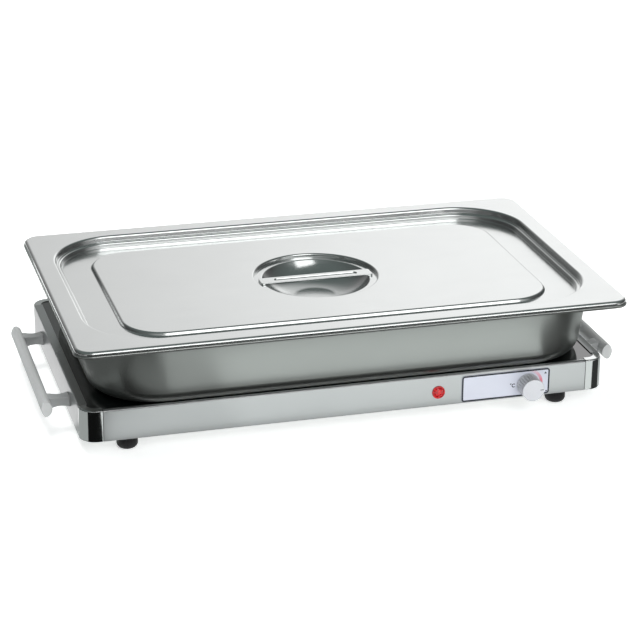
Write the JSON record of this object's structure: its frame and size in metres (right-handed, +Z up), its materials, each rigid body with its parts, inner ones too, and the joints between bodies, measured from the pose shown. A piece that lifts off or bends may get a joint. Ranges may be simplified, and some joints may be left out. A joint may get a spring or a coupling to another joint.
{
  "type": "electric buffet server",
  "caption": "Low electric hotplate base with black glass top, side handles, thermostat knob and pilot lamp, carrying a lidded gastronorm pan.",
  "frame": {"origin": "on the table, under the middle of the set's bounding box, which is the middle of the pan front to back", "axes": "+X to the right along the long side, +Y to the rear, +Z up; the knob and lamp face -Y"},
  "size_m": [0.5686, 0.3277, 0.1129],
  "materials": {
    "brushed_stainless": "brushed along the long side",
    "polished_stainless": "polished",
    "satin_stainless": "satin",
    "chrome_post": "mirror",
    "black_glass": "glossy opaque black",
    "handle_grey": "satin light grey",
    "rubber_black": "matte",
    "seal_black": "matte",
    "label_pale": "satin film",
    "knob_silver": "satin metallised",
    "mark_dark": "matte print",
    "lamp_red": "clear red lens",
    "plastic_black": "moulded",
    "plastic_ivory": "moulded",
    "zinc_fastener": "zinc plated",
    "aluminium_plate": "mill finish",
    "heater_silicone": "matte",
    "mineral_board": "fibrous",
    "brass": "plain",
    "copper": "drawn copper",
    "phenolic_brown": "moulded",
    "wire_red": "silicone sleeve"
  },
  "bodies": {
    "base": {"front_panel": "brushed_stainless", "rear_panel": "brushed_stainless", "left_side_panel": "brushed_stainless", "right_side_panel": "brushed_stainless", "corner_post_front_left": "chrome_post", "corner_post_front_right": "chrome_post", "corner_post_rear_left": "chrome_post", "corner_post_rear_right": "chrome_post", "bottom_cover": "satin_stainless", "bottom_cover_screws": "zinc_fastener", "rubber_feet": "rubber_black", "foot_studs": "zinc_fastener", "foot_nuts": "zinc_fastener", "left_handle_bar": "handle_grey", "right_handle_bar": "handle_grey", "left_handle_posts": "handle_grey", "right_handle_posts": "handle_grey", "left_handle_screws": "zinc_fastener", "right_handle_screws": "zinc_fastener", "glass_plate": "black_glass", "glass_gasket": "seal_black", "support_rails": "zinc_fastener", "heat_spreader": "aluminium_plate", "heater_mat": "heater_silicone", "insulation_board": "mineral_board", "heater_tray": "zinc_fastener", "tray_pillars": "zinc_fastener", "thermal_cutout": "plastic_ivory", "label_plate": "label_pale", "thermostat_body": "phenolic_brown", "thermostat_bush": "brass", "thermostat_nut": "zinc_fastener", "pilot_lamp_lens": "lamp_red", "pilot_lamp_body": "plastic_ivory", "pilot_lamp_clip": "zinc_fastener", "thermostat_bulb": "copper", "capillary_tube": "copper", "cord_gland": "plastic_black", "gland_nut": "plastic_black", "terminal_block": "plastic_ivory", "earth_stud": "brass", "earth_nut": "brass", "internal_leads": "wire_red", "rating_plate": "aluminium_plate"},
    "knob": {"control_knob": "knob_silver", "knob_pointer": "mark_dark", "thermostat_spindle": "zinc_fastener"},
    "pan": {"gn_pan": "satin_stainless"},
    "lid": {"lid_sheet": "polished_stainless", "lid_handle": "polished_stainless"}
  },
  "joints": [
    {"name": "knob_turn", "type": "hinge", "parent": "base", "child": "knob", "pos_m": [0.176, -0.1368, 0.027], "axis": [0, 1, 0], "range_deg": [0, 270]},
    {"name": "pan_lift", "type": "slide", "parent": "base", "child": "pan", "axis": [0, 0, 1], "range_m": [0, 0.12]},
    {"name": "lid_lift", "type": "slide", "parent": "pan", "child": "lid", "axis": [0, 0, 1], "range_m": [0, 0.12]}
  ]
}
